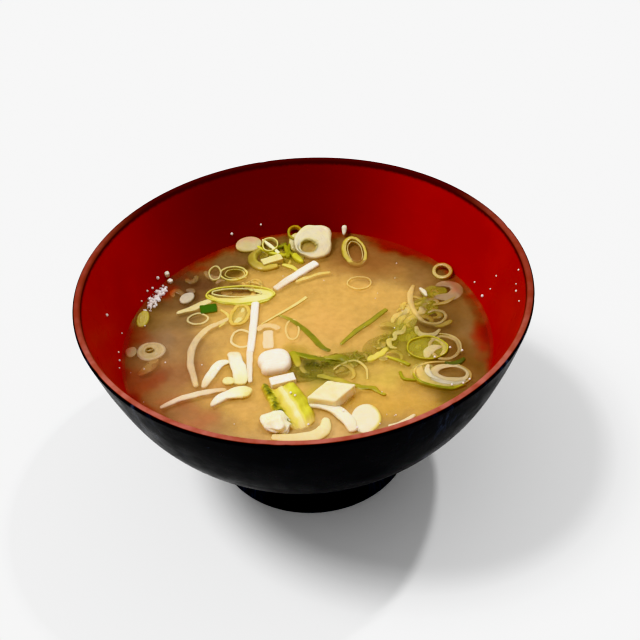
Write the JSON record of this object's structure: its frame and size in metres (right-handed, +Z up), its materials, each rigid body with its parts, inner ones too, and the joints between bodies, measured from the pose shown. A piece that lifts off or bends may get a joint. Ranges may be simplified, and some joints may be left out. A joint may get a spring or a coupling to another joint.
{
  "type": "bowl of miso soup",
  "caption": "Footed lacquered soup bowl, black outside and red inside, holding miso soup with tofu, mushroom and sliced spring onion.",
  "frame": {"origin": "centre of the foot ring's underside, on the surface the bowl stands on", "axes": "+Z up along the bowl's axis; -Y towards the side seen from the front; +X to the right"},
  "size_m": [0.15, 0.15, 0.0767],
  "materials": {
    "bowl": "lacquer gloss; red inside and on the lip, black outside",
    "broth": "wet, cloudy golden-brown liquid",
    "tofu": "moist, smooth",
    "mushroom": "moist, smooth",
    "leek_white": "wet, slightly translucent",
    "leek_green": "wet, ribbed",
    "leek_rim": "wet, slightly translucent with a green edge",
    "green_shred": "wet"
  },
  "bodies": {
    "root": {"bowl": "bowl", "broth": "broth", "tofu_cube": "tofu", "mushroom_cap": "mushroom", "mushroom_slab": "mushroom", "mushroom_stem_long": "mushroom", "mushroom_stem_back": "mushroom", "sprout_stem_left": "leek_white", "leek_gutter": "leek_green", "leek_lump": "leek_white", "leek_arc_front": "leek_white", "leek_arc_middle": "leek_white", "leek_slice_front": "leek_white", "leek_hook_left": "leek_white", "leek_arc_left": "leek_white", "leek_arc_low": "leek_white", "leek_oval_left": "leek_green", "leek_ring_left": "leek_rim", "leek_ring_far_left": "leek_white", "leek_ring_soft": "leek_white", "leek_slice_back_left": "leek_white", "leek_curl_back": "leek_green", "leek_slab_back": "leek_white", "leek_stump_back": "leek_white", "leek_ring_back_right": "leek_rim", "leek_ring_right_back": "leek_white", "leek_crescent_right": "leek_white", "leek_loop_right": "leek_white", "leek_ring_right": "leek_rim", "leek_arc_right": "leek_white", "leek_ring_front_right": "leek_rim", "leek_slab_right": "leek_green", "green_shred_middle": "green_shred", "green_shred_right": "green_shred", "green_shred_front": "green_shred"}
  },
  "joints": []
}
